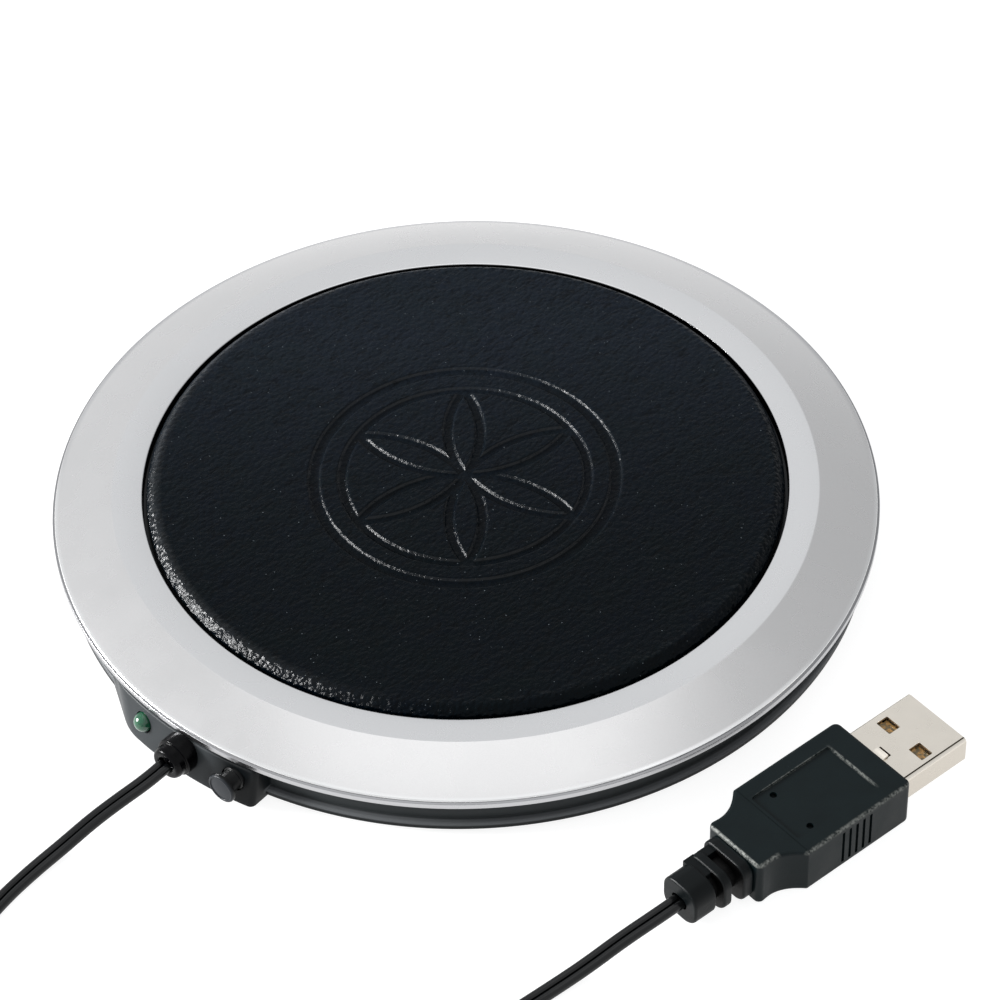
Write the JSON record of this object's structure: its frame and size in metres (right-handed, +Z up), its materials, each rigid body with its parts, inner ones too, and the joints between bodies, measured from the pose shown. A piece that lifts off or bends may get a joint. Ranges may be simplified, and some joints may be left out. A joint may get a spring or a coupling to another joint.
{
  "type": "usb mug warmer",
  "caption": "Low round mug warmer: sloping silver bezel round a leather-topped hot plate, black base with a pod for lamp, cord and push button, free cord to a USB plug.",
  "frame": {"origin": "on the disc's axis, in the plane of the rubber ring that stands on the table", "axes": "+Z up through the hot plate; -Y towards the pod with the lamp, cord and button; +X to the right seen from the pod's side, towards the plug"},
  "size_m": [0.1482, 0.2106, 0.0123],
  "materials": {
    "base_black": "moulded black ABS, fine spark-eroded texture",
    "foot_rubber": "soft black rubber, matt",
    "ring_silver": "satin silver paint with a fine metallic fleck",
    "cover_leather": "blue-black coated leather, fine pebble grain",
    "plate_aluminium": "rolled sheet",
    "film_amber": "amber polyimide film",
    "track_foil": "etched resistance foil",
    "felt_grey": "needled mineral felt",
    "plate_steel": "galvanised sheet",
    "screw_zinc": "zinc-plated screws",
    "board_green": "green solder mask on fibre board",
    "lamp_green": "clear green epoxy",
    "lead_tin": "tinned wire",
    "resistor_body": "beige lacquer",
    "switch_black": "moulded nylon",
    "plunger_red": "moulded acetal",
    "spring_steel": "bright spring wire",
    "button_grey": "moulded dark grey ABS",
    "grommet_rubber": "black moulded rubber",
    "cord_black": "black flexible PVC, slightly glossy",
    "tie_black": "woven black tie",
    "wire_red": "red insulation",
    "wire_white": "white silicone insulation",
    "overmold_black": "black moulded PVC, eroded texture",
    "shell_nickel": "nickel-plated folded steel",
    "tongue_olive": "dark olive moulded insulator",
    "contact_gold": "gold-plated strips"
  },
  "bodies": {
    "housing": {"base_shell": "base_black", "anti_slip_ring": "foot_rubber", "silver_ring": "ring_silver", "leather_cover": "cover_leather", "heater_plate": "plate_aluminium", "heater_film": "film_amber", "heater_track": "track_foil", "insulation_felt": "felt_grey", "backing_plate": "plate_steel", "plate_screws": "screw_zinc", "case_screws": "screw_zinc", "circuit_board": "board_green", "led_lamp": "lamp_green", "led_leads": "lead_tin", "led_resistor": "resistor_body", "switch_body": "switch_black", "switch_spring": "spring_steel", "switch_pins": "lead_tin", "cord_grommet": "grommet_rubber", "cord_lead": "cord_black", "cord_coil": "cord_black", "cord_tail": "cord_black", "coil_tie": "tie_black", "supply_wires": "wire_red", "heater_wires": "wire_white", "usb_overmold": "overmold_black", "usb_shell": "shell_nickel", "usb_tongue": "tongue_olive", "usb_contacts": "contact_gold"},
    "button": {"power_button": "button_grey", "switch_plunger": "plunger_red"}
  },
  "joints": [
    {"name": "button_press", "type": "slide", "parent": "housing", "child": "button", "axis": [0, 1, 0], "range_m": [0, 0.00065], "stiffness_N_per_m": 600, "springref_m": -0.0005, "deforming": ["switch_spring"]}
  ]
}
